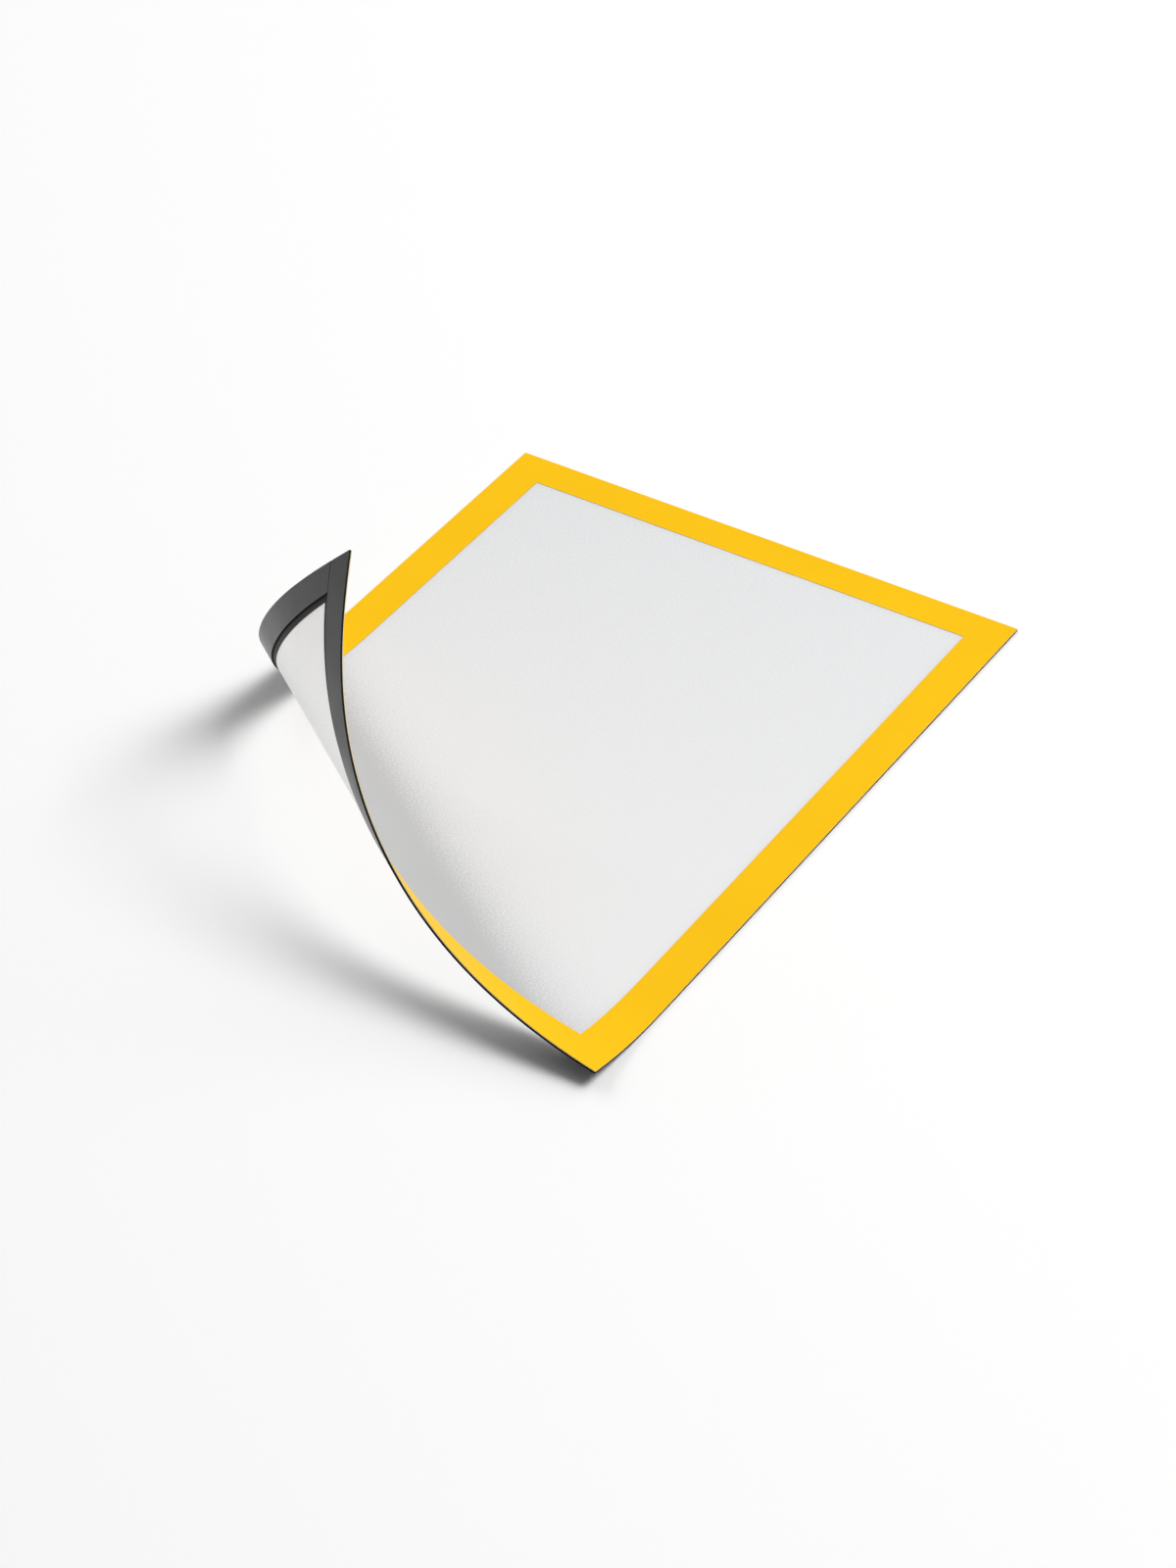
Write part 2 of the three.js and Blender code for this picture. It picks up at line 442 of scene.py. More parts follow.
@dataclass(frozen=True)
class Span:
    """A length of the smooth roll between two fold lines, across one hinge of the solids.

    Attributes:
        number: its number, from the flat side.
        first_fold: the fold where it starts.
        last_fold: the fold where it ends.
        bodies: the bodies on the two sides of its hinge, or its one body at the corner.
        start: where its bend starts, in metres; not used.
        end: where its bend ends; not used.
    """

    number: int
    first_fold: int
    last_fold: int
    bodies: tuple[str, ...]
    start: Vector
    end: Vector

    def hold(self, piece: bpy.types.Object) -> None:
        """Ties a piece at the corner to its one body; a piece over a hinge keeps its place in its
        mesh and is tied to neither body.

        Args:
            piece: the piece.
        """
        if len(self.bodies) == 2:
            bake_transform(piece)
        else:
            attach(piece, self.bodies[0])


@dataclass
class RollSpans:
    """Divides the smooth roll at the middle of each stiff length of the solids.

    Attributes:
        roll: the rolled corner.
        thickness: how thick the whole sheet is, in millimetres.
    """

    roll: CornerRoll
    thickness: float

    def make(self) -> list[Span]:
        """Divides the roll.

        Returns:
            The spans, from the flat side to the corner.
        """
        roll = self.roll
        middles = [self._middle_of(part) for part in range(roll.part_count)]
        edges = [0, *middles, roll.fold_count]
        bodies = ["flat_sheet", *(f"roll_part_{part + 1}" for part in range(roll.part_count))]
        spans = []
        for i in range(len(edges) - 1):
            held = tuple(bodies[i : i + 2])
            start, end = self._bend_between(edges[i], edges[i + 1])
            spans.append(Span(i + 1, edges[i], edges[i + 1], held, start, end))
        return spans

    def _middle_of(self, part: int) -> int:
        """Finds where a span ends.

        Args:
            part: the number of a stiff length of the solids.

        Returns:
            The fold in its middle, or one just before the rim's lower right corner, which is
            left whole.
        """
        roll, sheet = self.roll, self.roll.sheet
        low = roll.reach_through(sheet.width - sheet.rim_width, 0.0)
        high = roll.reach_through(sheet.width, sheet.rim_width)
        fold = part * roll.folds_in_part + roll.folds_in_part // 2
        while low < roll.reaches[fold] <= high:
            fold -= 1
        return fold

    def _bend_between(self, first: int, last: int) -> tuple[Vector, Vector]:
        """Finds the strip of space in which a span turns.

        Args:
            first: the fold at its start.
            last: the fold at its end.

        Returns:
            Two points, so that all of the first fold lies before the one and all of the last
            fold after the other.
        """
        before, after = self._ends_of(first), self._ends_of(last)
        ruling = (before[1] - before[0]).normalized() + (after[1] - after[0]).normalized()
        ruling.normalize()
        across = sum(after, Vector()) / len(after) - sum(before, Vector()) / len(before)
        across = (across - ruling * across.dot(ruling)).normalized()
        middle = (sum(after, Vector()) + sum(before, Vector())) / (len(after) + len(before))
        low = max((point - middle).dot(across) for point in before)
        high = min((point - middle).dot(across) for point in after)
        return middle + across * low, middle + across * high

    def _ends_of(self, fold: int) -> list[Vector]:
        """Finds where a fold line meets the left edge and the bottom or right edge.

        Args:
            fold: the fold line's number.

        Returns:
            The rolled points on the back of the sheet and then those on its front, the one on
            the left edge first.
        """
        roll = self.roll
        point, direction = roll.line(min(fold, roll.fold_count - 1))
        left = point + direction * (point.x / -direction.x)
        right = point + direction * ((roll.sheet.width - point.x) / direction.x)
        bottom = point + direction * (-point.y / direction.y)
        far = right if right.y > 0 else bottom
        heights = (0.0, self.thickness)
        return [roll.place(Vector((end.x, end.y, z))) for z in heights for end in (left, far)]


@dataclass
class LayerShaper:
    """Makes closed pieces of one layer, drawn flat, cut between fold lines and rolled.

    Attributes:
        roll: the rolled corner.
        layer: the layer's place in the laminate.
        edge_round: how wide the rounding of the layer's edges is, in millimetres.
        cut_spacing: how far apart the cuts across a long facet are.
        merge: how near two points have to be to become one.
        edge_angle: the least angle of an edge that is rounded, in radians.
        sharp_angle: the least angle of an edge that is shaded sharp, in radians.
        front_level: how level a face of the flat sheet is that belongs to its front or back.
    """

    roll: CornerRoll
    layer: Layer
    edge_round: float = 0.0
    cut_spacing: float = 20.0
    merge: float = 1e-3
    edge_angle: float = 1.0
    sharp_angle: float = math.radians(20)
    front_level: float = 0.99

    def make(self, name: str, outlines: Sequence[Outline], span: Span) -> bpy.types.Object | None:
        """Makes one piece.

        Args:
            name: the piece's name.
            outlines: the flat outlines, which share their edges.
            span: the length of the roll that it covers.

        Returns:
            The piece, or None where the outlines have nothing in the span.
        """
        shape = self._flat_solid(outlines)
        self._keep(shape, span.first_fold, 1)
        self._keep(shape, span.last_fold, -1)
        if not shape.faces:
            shape.free()
            return None
        for fold in range(span.first_fold + 1, span.last_fold):
            point, direction = self.roll.line(fold)
            self._cut(shape, point, Vector((-direction.y, direction.x, 0.0)))
        for point, normal in self.roll.sheet.cross_cuts(self.cut_spacing):
            self._cut(shape, point, normal)
        return self._rolled(name, shape)

    def _flat_solid(self, outlines: Sequence[Outline]) -> bmesh.types.BMesh:
        """Draws the outlines flat and gives them the layer's thickness.

        Args:
            outlines: the flat outlines, which share their edges.

        Returns:
            The flat shape, in millimetres.
        """
        shape = bmesh.new()
        for outline in outlines:
            corners = [shape.verts.new((u, v, self.layer.bottom)) for u, v in outline]
            shape.faces.new(corners)
        bmesh.ops.remove_doubles(shape, verts=shape.verts, dist=self.merge)
        lower = shape.faces[:]
        grown = bmesh.ops.extrude_face_region(shape, geom=lower, use_keep_orig=True)
        upper = [item for item in grown["geom"] if isinstance(item, bmesh.types.BMVert)]
        bmesh.ops.translate(shape, verts=upper, vec=UP * (self.layer.top - self.layer.bottom))
        bmesh.ops.recalc_face_normals(shape, faces=shape.faces)
        if self.edge_round:
            corners = [edge for edge in shape.edges if edge.calc_face_angle(0.0) > self.edge_angle]
            bmesh.ops.bevel(
                shape,
                geom=[edge for edge in corners if self._is_level(edge)],
                offset=self.edge_round,
                segments=2,
                profile=0.5,
                affect="EDGES",
                material=-1,
            )
        return shape

    def _is_level(self, edge: bmesh.types.BMEdge) -> bool:
        """Tells whether both ends of an edge are equally high."""
        return abs(edge.verts[0].co.z - edge.verts[1].co.z) < self.merge

    def _keep(self, shape: bmesh.types.BMesh, fold: int, side: int) -> None:
        """Cuts off what lies on one side of a fold line and closes the cut.

        Args:
            shape: the flat shape.
            fold: the fold line's number. The last one is the corner itself, where nothing is cut.
            side: 1 keeps the rolled side, -1 the flat side.
        """
        if fold >= self.roll.fold_count:
            return
        point, direction = self.roll.line(fold)
        normal = Vector((-direction.y, direction.x, 0.0)) * side
        self._cut(shape, point, normal, clear=True)
        open_edges = [edge for edge in shape.edges if edge.is_boundary]
        if open_edges:
            bmesh.ops.holes_fill(shape, edges=open_edges)

    def _cut(
        self, shape: bmesh.types.BMesh, point: Vector, normal: Vector, clear: bool = False
    ) -> None:
        """Cuts a shape with a plane.

        Args:
            shape: the shape.
            point: a point of the plane.
            normal: the plane's normal.
            clear: whether what lies behind the plane goes.
        """
        everything = [*shape.verts, *shape.edges, *shape.faces]
        bmesh.ops.bisect_plane(
            shape,
            geom=everything,
            dist=self.merge,
            plane_co=point,
            plane_no=normal,
            clear_inner=clear,
        )

    def _rolled(self, name: str, shape: bmesh.types.BMesh) -> bpy.types.Object:
        """Rolls a flat shape and makes it an object, with the flat places kept as its map.

        Args:
            name: the piece's name.
            shape: the flat shape, which is used up.

        Returns:
            The rolled piece.
        """
        shape.normal_update()
        sheet_map = shape.loops.layers.uv.new(SHEET_MAP)
        origin = self.roll.origin
        for face in shape.faces:
            face.smooth = True
            for loop in face.loops:
                flat = loop.vert.co - origin
                loop[sheet_map].uv = (flat.x * MM, flat.y * MM)
        for edge in shape.edges:
            edge.smooth = edge.calc_face_angle(math.pi) < self.sharp_angle
        facing = [face.normal.z for face in shape.faces]
        fronts = [self.roll.normal_at(vert.co) for vert in shape.verts]
        for vert in shape.verts:
            vert.co = self.roll.place(vert.co)
        shape.normal_update()
        mesh = bpy.data.meshes.new(name)
        shape.to_mesh(mesh)
        shape.free()
        mesh.attributes.new(FACING, "FLOAT", "FACE").data.foreach_set("value", facing)
        self._smooth_over_cuts(mesh, facing, fronts)
        piece = bpy.data.objects.new(name, mesh)
        bpy.context.scene.collection.objects.link(piece)
        return piece

    def _smooth_over_cuts(
        self, mesh: bpy.types.Mesh, facing: list[float], fronts: list[Vector]
    ) -> None:
        """Gives front and back the sheet's own normals, so that no joint of two pieces shows.

        Args:
            mesh: the rolled piece's mesh.
            facing: 1 for each face of the front, -1 for the back and about 0 for a cut edge.
            fronts: the direction of the sheet's front at each point of the mesh.
        """
        normals = []
        for face, turned in zip(mesh.polygons, facing, strict=True):
            for index in face.vertices:
                if abs(turned) > self.front_level:
                    normals.append(fronts[index] * math.copysign(1.0, turned))
                else:
                    normals.append(face.normal.copy())
        mesh.normals_split_custom_set(normals)


@dataclass(frozen=True)
class NoiseSize:
    """A noise pattern: its scale, per metre, its finer layers and how strong those are."""

    scale: float
    layers: float
    roughness: float = 0.55


@dataclass(frozen=True)
class Grain:
    """A fine relief: its noise, its depth in metres and how strongly it shows."""

    size: NoiseSize
    depth: float
    strength: float


class NodeBench:
    """Builds the node tree of a material or of the world."""

    def __init__(self, owner: bpy.types.Material | bpy.types.World) -> None:
        """Starts with no nodes.

        Args:
            owner: the material or world.
        """
        self.owner = owner
        owner.use_nodes = True
        self.tree = owner.node_tree
        self.tree.nodes.clear()

    def add(
        self, kind: str, inputs: dict[str | int, object] | None = None, **settings: object
    ) -> bpy.types.Node:
        """Adds a node.

        Args:
            kind: the node's type, without its ShaderNode prefix.
            inputs: a value, or another node's output, for each socket by name or number.
            settings: the node's own settings.

        Returns:
            The node.
        """
        node = self.tree.nodes.new("ShaderNode" + kind)
        for setting, value in settings.items():
            setattr(node, setting, value)
        for socket, value in (inputs or {}).items():
            if isinstance(value, Socket):
                self.tree.links.new(value, node.inputs[socket])
            else:
                node.inputs[socket].default_value = value
        return node

    def maths(self, operation: str, *numbers: Socket | float) -> Socket:
        """Returns the result of one sum, by Blender's name for it."""
        return self.add("Math", dict(enumerate(numbers)), operation=operation).outputs[0]

    def stretched(
        self, number: Socket, between: tuple[float, float], low: float, high: float
    ) -> Socket:
        """Returns a number moved from one range into another, which it doesn't leave."""
        ends = {"From Min": between[0], "From Max": between[1], "To Min": low, "To Max": high}
        return self.add("MapRange", {"Value": number, **ends}).outputs["Result"]

    def either(self, share: Socket, first: Socket | float, second: Socket | float) -> Socket:
        """Returns a number between two, the second one where the share is 1."""
        return self.add("Mix", {0: share, 2: first, 3: second}).outputs[0]

    def mixed(self, share: Socket, first: Socket | Colour, second: Colour) -> Socket:
        """Returns a colour between two, the second one where the share is 1."""
        base = first if isinstance(first, Socket) else (*first, 1.0)
        return self.add("Mix", {0: share, 6: base, 7: (*second, 1.0)}, data_type="RGBA").outputs[2]

    def layered(self, share: Socket, first: Shader, second: Shader) -> Shader:
        """Returns a shader between two, the second one where the share is 1."""
        return self.add("MixShader", {0: share, 1: first.outputs[0], 2: second.outputs[0]})

    def tinted(self, noise: Socket, colour: Colour, spread: float) -> Socket:
        """Makes a colour a little uneven.

        Args:
            noise: a noise.
            colour: the colour.
            spread: how much darker and lighter the noise makes it, as a share.

        Returns:
            The uneven colour.
        """
        ramp = self.add("ValToRGB", {"Fac": noise})
        for stop, position, level in zip(
            ramp.color_ramp.elements, USUAL_NOISE, (1 - spread, 1 + spread), strict=True
        ):
            stop.position = position
            stop.color = (*(min(1.0, part * level) for part in colour), 1.0)
        return ramp.outputs["Color"]

    def finish(self, shader: Shader, output: str = "OutputMaterial") -> bpy.types.ID:
        """Connects the shader to the output and returns the material or world."""
        self.add(output, {"Surface": shader.outputs[0]})
        return self.owner


class SheetBench(NodeBench):
    """Builds a material of the sheet, with its patterns drawn on the flat sheet, in metres."""

    def __init__(self, name: str, pattern: Pattern) -> None:
        """Starts a material.

        Args:
            name: the material's name.
            pattern: where it takes the place of its pattern from.
        """
        super().__init__(bpy.data.materials.new(name))
        self.pattern = pattern
        if pattern is Pattern.ROLLED_SHEET:
            self.place = self.add("UVMap", uv_map=SHEET_MAP).outputs["UV"]
        else:
            flatten = {"Vector": self.add("TexCoord").outputs["Object"], "Scale": (1.0, 1.0, 0.0)}
            self.place = self.add("Mapping", flatten).outputs["Vector"]

    def facing(self) -> Socket:
        """Tells the sides of the sheet apart.

        Returns:
            1 on the front of the sheet, -1 on its back and 0 on a cut edge.
        """
        if self.pattern is Pattern.ROLLED_SHEET:
            return self.add("Attribute", attribute_name=FACING).outputs["Fac"]
        apart = self.add("SeparateXYZ", {0: self.add("TexCoord").outputs["Normal"]})
        return apart.outputs["Z"]

    def by_side(self, front: float, back: float) -> Socket:
        """Returns one number on the front of the sheet and another on its back."""
        return self.stretched(self.facing(), (-1.0, 1.0), back, front)

    def cut_edge(self) -> Socket:
        """Returns 1 on a cut edge and 0 on the front and the back."""
        return self.stretched(self.maths("ABSOLUTE", self.facing()), FACE_LEVELS, 1.0, 0.0)

    def within(self, middle: Place, half: Place) -> Socket:
        """Marks a rectangle of the flat sheet.

        Args:
            middle: the rectangle's middle.
            half: half its width and half its height.

        Returns:
            1 in the rectangle and 0 outside it.
        """
        off = self.add("VectorMath", {0: self.place, 1: middle}, operation="SUBTRACT").outputs[0]
        off = self.add("VectorMath", {0: off}, operation="ABSOLUTE").outputs[0]
        apart = self.add("SeparateXYZ", {0: off}).outputs
        across = self.maths("LESS_THAN", apart[0], half[0])
        along = self.maths("LESS_THAN", apart[1], half[1])
        return self.maths("MULTIPLY", across, along)

    def noise(self, size: NoiseSize) -> Socket:
        """Returns a soft noise from 0 to 1, mostly near 0.5."""
        pattern = {"Scale": size.scale, "Detail": size.layers, "Roughness": size.roughness}
        return self.add("TexNoise", {"Vector": self.place, **pattern}).outputs["Fac"]

    def relief(self, grain: Grain) -> Socket:
        """Returns the normal of a surface with a fine relief."""
        pattern = {"Height": self.noise(grain.size), "Strength": grain.strength}
        return self.add("Bump", {"Distance": grain.depth, **pattern}).outputs["Normal"]


@dataclass(frozen=True)
class OpaqueFinish:
    """What the finishes of the opaque layers have in common.

    Attributes:
        colour: the colour.
        colour_spread: how uneven it is, as a share.
        roughness: the range of its roughness.
        specular: how strong its shine is.
        cloud: the noise of its unevenness.
        grain: its relief.
    """

    colour: Colour
    colour_spread: float
    roughness: tuple[float, float]
    specular: float
    cloud: NoiseSize
    grain: Grain

    def material(self, name: str, pattern: Pattern) -> bpy.types.Material:
        """Makes the material.

        Args:
            name: the material's name.
            pattern: where it takes the place of its pattern from.

        Returns:
            The material.
        """
        bench = SheetBench(name, pattern)
        cloud = bench.noise(self.cloud)
        colour = bench.tinted(cloud, self.colour, self.colour_spread)
        roughness = bench.stretched(cloud, USUAL_NOISE, *self.roughness)
        colour, roughness = self._with_cuts(bench, colour, roughness)
        look = {
            "Base Color": colour,
            "Roughness": roughness,
            "Specular IOR Level": self.specular,
            "Normal": bench.relief(self.grain),
        }
        return bench.finish(bench.add("BsdfPrincipled", look))

    def _with_cuts(
        self, bench: SheetBench, colour: Socket, roughness: Socket
    ) -> tuple[Socket, Socket]:
        """Returns colour and roughness as they are, for a layer that looks the same where cut."""
        return colour, roughness


@dataclass(frozen=True)
class FoilFinish(OpaqueFinish):
    """Printed rim foil: an even signal yellow under a fine matt grain, and black round the window.

    The window is punched, and the cut there is black. The outer cut is yellow.

    Attributes:
        window_cut_colour: the colour of the cut round the window.
        window_middle: the middle of the window, in metres in the part.
        punched_half: half the width and height of the place round it in which cuts are black.
    """

    colour: Colour = (0.99, 0.563, 0.007)
    colour_spread: float = 0.018
    roughness: tuple[float, float] = (0.47, 0.53)
    specular: float = 0.08
    cloud: NoiseSize = NoiseSize(22.0, 3.0)
    grain: Grain = Grain(NoiseSize(2600.0, 2.0), 0.00001, 0.35)
    window_cut_colour: Colour = (0.004, 0.004, 0.004)
    window_middle: Place = (0.0, -0.155, 0.0)
    punched_half: Place = (0.11, 0.1535, 0.0)

    def _with_cuts(
        self, bench: SheetBench, colour: Socket, roughness: Socket
    ) -> tuple[Socket, Socket]:
        """Makes the window's cuts black.

        Args:
            bench: the material's nodes.
            colour: the colour elsewhere.
            roughness: the roughness.

        Returns:
            The colour and roughness of the whole foil.
        """
        punched = bench.within(self.window_middle, self.punched_half)
        window_cut = bench.maths("MULTIPLY", bench.cut_edge(), punched)
        return bench.mixed(window_cut, colour, self.window_cut_colour), roughness


@dataclass(frozen=True)
class BackingFinish(OpaqueFinish):
    """Black backing ring: a smooth, slightly shiny film."""

    colour: Colour = (0.014, 0.014, 0.015)
    colour_spread: float = 0.1
    roughness: tuple[float, float] = (0.56, 0.65)
    specular: float = 0.3
    cloud: NoiseSize = NoiseSize(60.0, 4.0)
    grain: Grain = Grain(NoiseSize(3000.0, 2.0), 0.000008, 0.3)


@dataclass(frozen=True)
class StripFinish(OpaqueFinish):
    """Magnetic rubber strip: a dark grey satin skin, and matt black where it is cut."""

    colour: Colour = (0.031, 0.031, 0.032)
    colour_spread: float = 0.12
    roughness: tuple[float, float] = (0.28, 0.38)
    specular: float = 0.28
    cloud: NoiseSize = NoiseSize(45.0, 5.0)
    grain: Grain = Grain(NoiseSize(1800.0, 3.0), 0.00001, 0.25)
    cut_colour: Colour = (0.004, 0.004, 0.004)
    cut_roughness: float = 0.85

    def _with_cuts(
        self, bench: SheetBench, colour: Socket, roughness: Socket
    ) -> tuple[Socket, Socket]:
        """Returns the colour and the roughness, with those of the cuts where it is cut."""
        cut, black = bench.cut_edge(), self.cut_colour
        return bench.mixed(cut, colour, black), bench.either(cut, roughness, self.cut_roughness)


@dataclass(frozen=True)
class FilmFinish:
    """Matt window film: it scatters the light on its way through and shows no clear picture.

    It also scatters light back, from its front more than from its back. Seen at a low angle the
    film shows more of a dull gloss whose dark colour is painted shade: on the front it makes the
    grey zone beside the roll. The front is the duller side, with the darker gloss, and the cut
    edge looks pale.

    Attributes:
        colour: the light that goes through.
        returned_colour: the light that comes back.
        front_share: how much of the front's look is light that comes back.
        back_share: the same for the back.
        clear_to_light: how much of the lamps' light passes it unchanged.
        smooth_ior: how fast the sheen and its painted shade grow towards a low angle.
        front_start: the mirrored share at which the front's sheen and painted shade begin.
        front_growth: how much stronger than a mirrored share the front's sheen and painted shade
            are.
        most_sheen_and_shade: the most that the sheen and its painted shade take of the look.
        sheen_and_shade_easing: how softly they come to that.
        speckle: the noise of the specks in the sheen and its painted shade.
        speckle_depth: how strong they are, as a share.
    """

    colour: Colour = (0.985, 0.99, 0.998)
    colour_spread: float = 0.006
    returned_colour: Colour = (0.854, 0.861, 0.872)
    front_share: float = 0.85
    back_share: float = 0.21
    edge_colour: Colour = (0.95, 0.9, 0.7)
    clear_to_light: float = 0.99
    smooth_ior: float = 1.35
    front_start: float = 0.0315
    front_growth: float = 9.0
    most_sheen_and_shade: float = 0.445
    sheen_and_shade_easing: float = 0.25
    # The sheen's colours are painted shade laid on as a dull gloss, dark grey on the front and mid
    # grey on the back.
    front_sheen_and_shade: Colour = (0.12, 0.12, 0.12)
    back_sheen_and_shade: Colour = (0.5, 0.5, 0.5)
    roughness: tuple[float, float] = (0.51, 0.59)
    cloud: NoiseSize = NoiseSize(35.0, 4.0)
    grain: Grain = Grain(NoiseSize(1500.0, 3.0), 0.00001, 0.3)
    speckle: NoiseSize = NoiseSize(1100.0, 1.0)
    speckle_depth: float = 0.38

    def material(self, name: str, pattern: Pattern) -> bpy.types.Material:
        """Makes the film's material.

        Args:
            name: the material's name.
            pattern: where it takes the place of its pattern from.

        Returns:
            The material.
        """
        bench = SheetBench(name, pattern)
        cloud = bench.noise(self.cloud)
        normal = bench.relief(self.grain)
        back = bench.by_side(0.0, 1.0)
        # A dull metallic gloss whose dark colour is painted shade.
        sheen_and_shade = bench.add(
            "BsdfPrincipled",
            {
                "Base Color": bench.mixed(back, self.front_sheen_and_shade, self.back_sheen_and_shade),
                "Metallic": 1.0,
                "Roughness": bench.stretched(cloud, USUAL_NOISE, *self.roughness),
                "Normal": normal,
            },
        )
        colour = bench.tinted(cloud, self.colour, self.colour_spread)
        through = bench.add("BsdfTranslucent", {"Color": colour, "Normal": normal})
        white = (*self.returned_colour, 1.0)
        returned = bench.add("BsdfDiffuse", {"Color": white, "Normal": normal})
        share = bench.by_side(self.front_share, self.back_share)
        haze = bench.layered(share, through, returned)
        face = bench.layered(self._sheen_and_shade_share(bench), haze, sheen_and_shade)
        edge = bench.add("BsdfDiffuse", {"Color": (*self.edge_colour, 1.0)})
        seen = bench.layered(bench.cut_edge(), face, edge)
        clear = bench.add("BsdfTransparent", {"Color": WHITE})
        camera = bench.add("LightPath").outputs["Is Camera Ray"]
        unseen = bench.either(camera, self.clear_to_light, 0.0)
        return bench.finish(bench.layered(unseen, seen, clear))

    def _sheen_and_shade_share(self, bench: SheetBench) -> Socket:
        """Works out the share of the sheen and its painted shade, which grows towards a low angle
        and has fine specks.

        Args:
            bench: the material's nodes.

        Returns:
            How much of the look is sheen and painted shade.
        """
        mirrored = bench.add("Fresnel", {"IOR": self.smooth_ior}).outputs[0]
        over = bench.maths("SUBTRACT", mirrored, bench.by_side(self.front_start, 0.0))
        growth = bench.by_side(self.front_growth, 1.0)
        grown = bench.maths("MULTIPLY", over, growth)
        low, high = 1.0 - self.speckle_depth, 1.0 + self.speckle_depth
        specks = bench.stretched(bench.noise(self.speckle), USUAL_NOISE, low, high)
        spotted = bench.maths("MULTIPLY", grown, specks)
        return bench.maths("SMOOTH_MIN", spotted, self.most_sheen_and_shade, self.sheen_and_shade_easing)


Finish = OpaqueFinish | FilmFinish


@dataclass
class SheetLayer:
    """What the layers of the sheet have in common: a flat part and the lengths of the roll.

    Attributes:
        stem: how the names of its solids and pieces begin.
        slot: the part's material slot for it; not used.
        outlines: its flat outlines.
        shaper: what makes its rolled pieces.
        finish: how it looks.
    """

    stem: str
    slot: str
    outlines: Sequence[Outline]
    shaper: LayerShaper
    finish: Finish

    def build(self, spans: Sequence[Span]) -> None:
        """Makes the rolled pieces and dresses the flat solid.

        Args:
            spans: the lengths of the roll.
        """
        rolled = self.finish.material(f"{self.stem}_rolled", Pattern.ROLLED_SHEET)
        for span in spans:
            piece = self.shaper.make(f"{self.stem}_roll_{span.number}", self.outlines, span)
            if piece is None:
                continue
            piece.data.materials.append(rolled)
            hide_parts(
                *self._solids_on(body for body in span.bodies if body != "flat_sheet")
            )
            span.hold(piece)
            faces, held = len(piece.data.polygons), " and ".join(span.bodies)
            LOG.info("%s: %d faces, on %s", piece.name, faces, held)
        self._dress_flat()

    def _solids_on(self, bodies: Iterable[str]) -> list[str]:
        """Finds this layer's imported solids.

        Args:
            bodies: the names of the bodies that they ride.

        Returns:
            The names of the solids.
        """
        carriers = [frame["bodies"][body] for body in bodies]
        return [
            name
            for name, node in frame["nodes"].items()
            if node.parent in carriers and name.startswith(self.stem)
        ]

    def _dress_flat(self) -> None:
        """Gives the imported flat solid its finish."""
        flat = self.finish.material(f"{self.stem}_flat", Pattern.FLAT_SOLID)
        for name in self._solids_on(["flat_sheet"]):
            for slot in frame["nodes"][name].material_slots:
                slot.material = flat
            LOG.info("%s: packed solid, new finish", name)


class RimFoil(SheetLayer):
    """The yellow rim on the front of the film."""

    def __init__(self, roll: CornerRoll, stack: Laminate) -> None:
        """Sets out the rim on the roll, at its height in the laminate."""
        shaper = LayerShaper(roll, stack.foil)
        super().__init__("rim_foil", "rim_foil", roll.sheet.rim(), shaper, FoilFinish())


class WindowFilm(SheetLayer):
    """The film, as large as the whole sheet."""

    def __init__(self, roll: CornerRoll, stack: Laminate) -> None:
        """Sets out the film on the roll, at its height in the laminate."""
        shaper = LayerShaper(roll, stack.film)
        super().__init__("window_film", "window_film", [roll.sheet.whole()], shaper, FilmFinish())


class BackingRing(SheetLayer):
    """The black ring on the back of the film."""

    def __init__(self, roll: CornerRoll, stack: Laminate) -> None:
        """Sets out the ring on the roll, at its height in the laminate."""
        shaper = LayerShaper(roll, stack.backing)
        super().__init__("rim_backing", "backing", roll.sheet.rim(), shaper, BackingFinish())


class MagnetStrip(SheetLayer):
    """One of the four magnetic strips on the back."""

    def __init__(self, roll: CornerRoll, stack: Laminate, side: Side) -> None:
        """Sets out the strip.

        Args:
            roll: the rolled corner.
            stack: the laminate.
            side: the side of the sheet that it lies on.
        """
        stem, outlines = f"magnet_strip_{side.name.lower()}", [roll.sheet.strip(side)]
        shaper = LayerShaper(roll, stack.strip, stack.strip_round)
        super().__init__(stem, "magnet", outlines, shaper, StripFinish())


@dataclass
class DisplayFrame:
    """The whole frame: rim foil, window film, backing ring and four magnetic strips."""

    sheet: FlatSheet = FlatSheet()
    stack: Laminate = Laminate()

    def build(self) -> None:
        """Builds and dresses every layer."""
        roll = CornerRoll(self.sheet)
        spans = RollSpans(roll, self.stack.foil.top).make()
        layers = [kind(roll, self.stack) for kind in (RimFoil, WindowFilm, BackingRing)]
        layers += [MagnetStrip(roll, self.stack, side) for side in Side]
        for layer in layers:
            layer.build(spans)


@dataclass(frozen=True)
class StudioCamera:
    """The camera at the photograph's place, in metres and degrees.

    Attributes:
        focal_pixels: its focal length, in pixels of the photograph.
        picture_height: the height of the photograph, in pixels.
        sensor: the longer side of its sensor, in millimetres.
        clip: the nearest and farthest thing that it sees.
    """

    place: Place = (0.79642, -1.39572, 1.15894)
    turn: tuple[float, float, float] = (51.364, 0.117, 32.121)
    focal_pixels: float = 4884.1
    picture_height: float = 1600.0
    sensor: float = 36.0
    clip: tuple[float, float] = (0.01, 50.0)

    def build(self) -> None:
        """Makes the camera and looks through it."""
        data = bpy.data.cameras.new("camera")
        data.sensor_width = self.sensor
        data.lens = self.focal_pixels / self.picture_height * self.sensor
        data.clip_start, data.clip_end = self.clip
        camera = bpy.data.objects.new("camera", data)
        camera.location = self.place
        camera.rotation_euler = Euler([math.radians(angle) for angle in self.turn])
        bpy.context.scene.collection.objects.link(camera)
        bpy.context.scene.camera = camera
        LOG.info("camera: lens %.1f mm", data.lens)


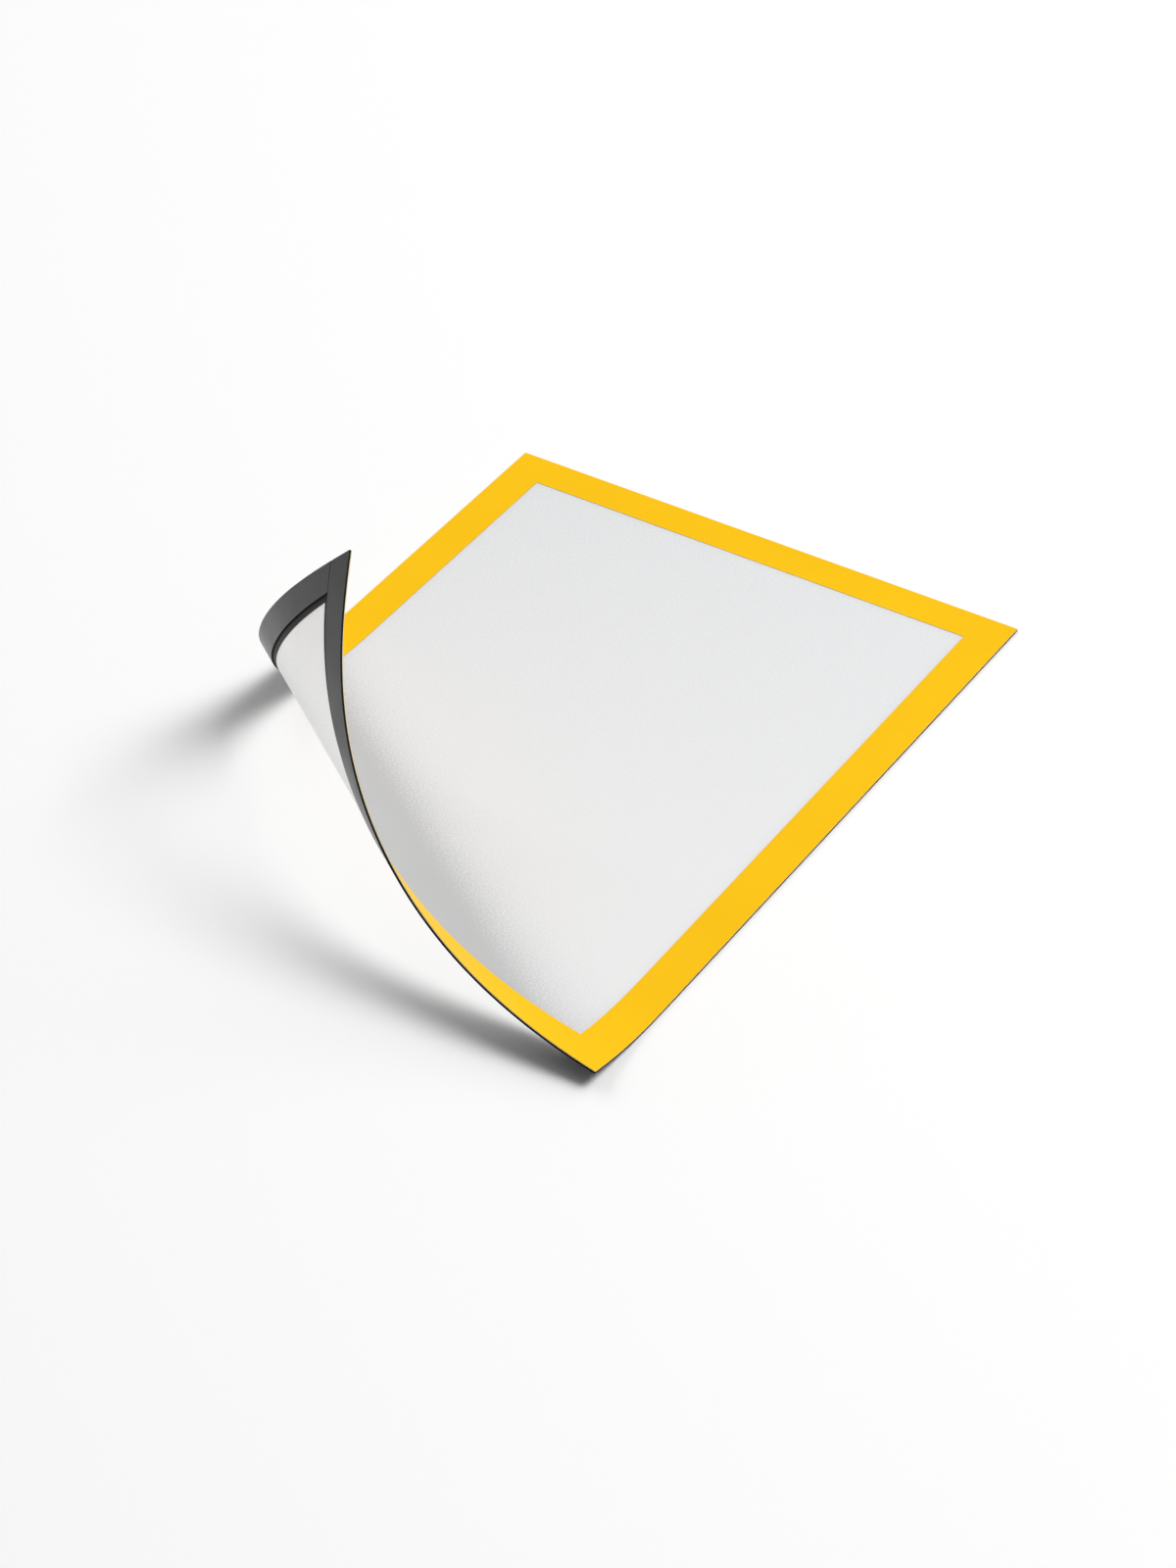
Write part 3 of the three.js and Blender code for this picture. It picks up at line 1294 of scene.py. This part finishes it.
@dataclass(frozen=True)
class SoftLamp:
    """A softbox that points at the object, in degrees and metres.

    Its azimuth turns left from the sheet's right side, and its share is the brightness that it
    alone gives a white floor under the target.
    """

    name: str
    azimuth: float
    elevation: float
    distance: float
    width: float
    height: float
    share: float

    def build(self, target: Vector) -> None:
        """Makes the lamp.

        Args:
            target: the point that it faces.
        """
        azimuth, elevation = math.radians(self.azimuth), math.radians(self.elevation)
        level = math.cos(elevation)
        away = Vector((math.cos(azimuth) * level, math.sin(azimuth) * level, math.sin(elevation)))
        data = bpy.data.lights.new(self.name, "AREA")
        data.shape = "RECTANGLE"
        data.size, data.size_y = self.width, self.height
        data.energy = self.share * (math.pi * self.distance) ** 2 / away.z
        lamp = bpy.data.objects.new(self.name, data)
        lamp.location = target + away * self.distance
        lamp.rotation_euler = (-away).to_track_quat("-Z", "Y").to_euler()
        bpy.context.scene.collection.objects.link(lamp)
        LOG.info("%s: %.0f W", self.name, data.energy)


@dataclass(frozen=True)
class Studio:
    """A plain white floor under soft light.

    Attributes:
        target: the point that the lamps face, in metres.
        floor_half: half the width of the floor.
        floor_under: how far the floor lies under the part.
        floor_colour: how white the floor is to the light that falls on it.
        sky: the brightness of the even light from all round.
        lamps: the softboxes.
    """

    target: Place = (0.0, -0.15, 0.0)
    floor_half: float = 6.0
    floor_under: float = 0.00005
    floor_colour: float = 0.9
    sky: float = 0.135
    lamps: tuple[SoftLamp, ...] = (
        SoftLamp("key_lamp", 32.0, 58.0, 5.0, 2.6, 2.6, 0.64),
        SoftLamp("back_lamp", 70.0, 40.0, 5.0, 3.2, 3.2, 0.12),
        SoftLamp("fill_lamp", 166.0, 42.0, 6.0, 4.0, 4.0, 0.185),
    )

    def build(self) -> None:
        """Makes the floor, the sky and the lamps."""
        self._build_floor()
        self._build_sky()
        for lamp in self.lamps:
            lamp.build(Vector(self.target))
        bpy.context.scene.view_settings.view_transform = "Standard"

    def _seen(self, bench: NodeBench) -> Socket:
        """Tells what the camera sees from what light does.

        Args:
            bench: the floor's nodes.

        Returns:
            1 for what the camera sees, straight, mirrored or through the film.
        """
        path = bench.add("LightPath")
        seen = path.outputs["Is Camera Ray"]
        for kind in ("Is Glossy Ray", "Is Transmission Ray"):
            seen = bench.maths("MAXIMUM", seen, path.outputs[kind])
        return seen

    def _build_floor(self) -> None:
        """Makes the floor, which looks white and keeps the object's shadow."""
        shape = bmesh.new()
        bmesh.ops.create_grid(shape, x_segments=1, y_segments=1, size=self.floor_half)
        bmesh.ops.translate(shape, verts=shape.verts, vec=UP * -self.floor_under)
        mesh = bpy.data.meshes.new("floor")
        shape.to_mesh(mesh)
        shape.free()
        bench = NodeBench(bpy.data.materials.new("floor_white"))
        colour = bench.mixed(self._seen(bench), (self.floor_colour,) * 3, WHITE[:3])
        mesh.materials.append(bench.finish(bench.add("BsdfDiffuse", {"Color": colour})))
        floor = bpy.data.objects.new("floor", mesh)
        bpy.context.scene.collection.objects.link(floor)

    def _build_sky(self) -> None:
        """Lights the room evenly and shows it white to the camera."""
        bench = NodeBench(bpy.data.worlds.new("room"))
        camera = bench.add("LightPath").outputs["Is Camera Ray"]
        strength = bench.either(camera, self.sky, 1.0)
        light = bench.add("Background", {"Color": WHITE, "Strength": strength})
        bpy.context.scene.world = bench.finish(light, "OutputWorld")


def main() -> None:
    """Builds the studio and the display frame."""
    logging.basicConfig(level=logging.INFO, format="%(name)s: %(message)s")
    StudioCamera().build()
    Studio().build()
    DisplayFrame().build()


if __name__ == "__main__":
    main()
